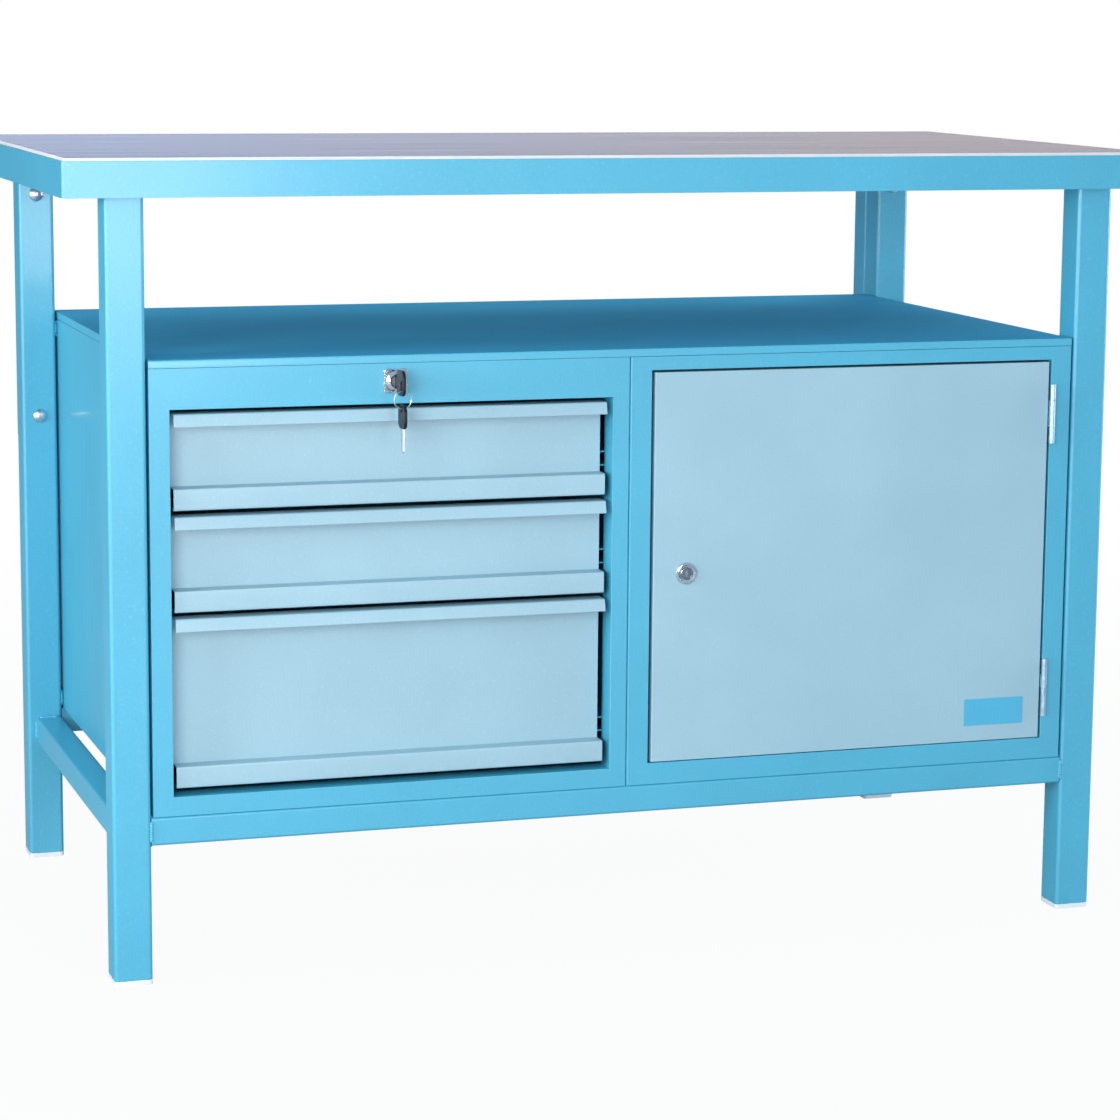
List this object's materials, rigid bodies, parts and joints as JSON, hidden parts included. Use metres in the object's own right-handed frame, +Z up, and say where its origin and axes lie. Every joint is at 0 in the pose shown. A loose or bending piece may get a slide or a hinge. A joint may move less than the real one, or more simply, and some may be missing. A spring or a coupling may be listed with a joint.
{
  "type": "workbench",
  "caption": "Painted steel workbench: boarded top on square tube legs, open shelf space, locking drawers on the left and a cam-locked cupboard door on the right.",
  "frame": {"origin": "On the floor, under the middle of the bench's outline", "axes": "+X along the bench's length to the right seen from the front, +Y to its back, +Z up"},
  "size_m": [1.2, 0.6776, 0.85],
  "materials": {
    "stand_paint": "satin powder coat",
    "front_paint": "satin metallic powder coat",
    "board": "sealed board with a bare edge",
    "foot_plastic": "moulded",
    "key_plastic": "moulded",
    "zinc": "zinc plated",
    "chrome": "bright plated",
    "hinge_steel": "plated"
  },
  "bodies": {
    "carcass": {"worktop_board": "board", "rim_front": "stand_paint", "rim_rear": "stand_paint", "rim_left": "stand_paint", "rim_right": "stand_paint", "leg_front_left": "stand_paint", "leg_front_right": "stand_paint", "leg_rear_left": "stand_paint", "leg_rear_right": "stand_paint", "foot_cap_front_left": "foot_plastic", "foot_cap_front_right": "foot_plastic", "foot_cap_rear_left": "foot_plastic", "foot_cap_rear_right": "foot_plastic", "side_rail_left": "stand_paint", "side_rail_right": "stand_paint", "front_rail": "stand_paint", "rear_rail": "stand_paint", "rear_post_left": "stand_paint", "rear_post_right": "stand_paint", "coach_bolt_left_upper": "zinc", "coach_bolt_left_lower": "zinc", "coach_bolt_right_upper": "zinc", "coach_bolt_right_lower": "zinc", "shelf_sheet": "stand_paint", "weld_tab_left_upper": "stand_paint", "weld_tab_left_lower": "stand_paint", "weld_tab_right_upper": "stand_paint", "weld_tab_right_lower": "stand_paint", "drawer_cabinet_frame": "stand_paint", "drawer_cabinet_shell": "stand_paint", "door_cabinet_frame": "stand_paint", "door_cabinet_shell": "stand_paint", "runner_1_left": "zinc", "runner_1_right": "zinc", "runner_2_left": "zinc", "runner_2_right": "zinc", "runner_3_left": "zinc", "runner_3_right": "zinc", "drawer_lock_body": "chrome", "hinge_upper_fixed": "hinge_steel", "hinge_lower_fixed": "hinge_steel"},
    "drawer_1": {"drawer_1_front": "front_paint", "drawer_1_box": "stand_paint"},
    "drawer_2": {"drawer_2_front": "front_paint", "drawer_2_box": "stand_paint"},
    "drawer_3": {"drawer_3_front": "front_paint", "drawer_3_box": "stand_paint"},
    "door": {"door_leaf": "front_paint", "hinge_upper_moving": "hinge_steel", "hinge_lower_moving": "hinge_steel", "door_lock_body": "chrome"},
    "door_cam": {"door_lock_plug": "chrome"},
    "drawer_lock": {"drawer_lock_plug": "chrome", "drawer_key": "key_plastic"},
    "locking_bar": {"lock_bar": "zinc"},
    "ring": {"key_ring": "zinc"},
    "spare": {"spare_key": "key_plastic"}
  },
  "joints": [
    {"name": "drawer_1_slide", "type": "slide", "parent": "carcass", "child": "drawer_1", "axis": [0, -1, 0], "range_m": [0, 0.42]},
    {"name": "drawer_2_slide", "type": "slide", "parent": "carcass", "child": "drawer_2", "axis": [0, -1, 0], "range_m": [0, 0.42]},
    {"name": "drawer_3_slide", "type": "slide", "parent": "carcass", "child": "drawer_3", "axis": [0, -1, 0], "range_m": [0, 0.42]},
    {"name": "door_hinge", "type": "hinge", "parent": "carcass", "child": "door", "pos_m": [0.48995, -0.29925, 0.41075], "axis": [0, 0, 1], "range_deg": [0, 175]},
    {"name": "door_lock_turn", "type": "hinge", "parent": "door", "child": "door_cam", "pos_m": [0.06505, -0.2958, 0.4048], "axis": [0, 1, 0], "range_deg": [0, 90]},
    {"name": "drawer_lock_turn", "type": "hinge", "parent": "carcass", "child": "drawer_lock", "pos_m": [-0.25633, -0.3045, 0.62], "axis": [0, 1, 0], "range_deg": [0, 90]},
    {"name": "lock_bar_slide", "type": "slide", "parent": "carcass", "child": "locking_bar", "axis": [0, 0, -1], "range_m": [0, 0.01273]},
    {"name": "key_ring_swing", "type": "hinge", "parent": "drawer_lock", "child": "ring", "pos_m": [-0.25633, -0.3258, 0.6119], "axis": [1, 0, 0], "range_deg": [-25, 10]},
    {"name": "spare_key_swing", "type": "hinge", "parent": "ring", "child": "spare", "pos_m": [-0.25633, -0.3258, 0.5945], "axis": [1, 0, 0], "range_deg": [-25, 10]}
  ],
  "couplings": [
    {"joint": "drawer_lock_turn", "follows": "lock_bar_slide", "rad_per_m": 123.41}
  ]
}
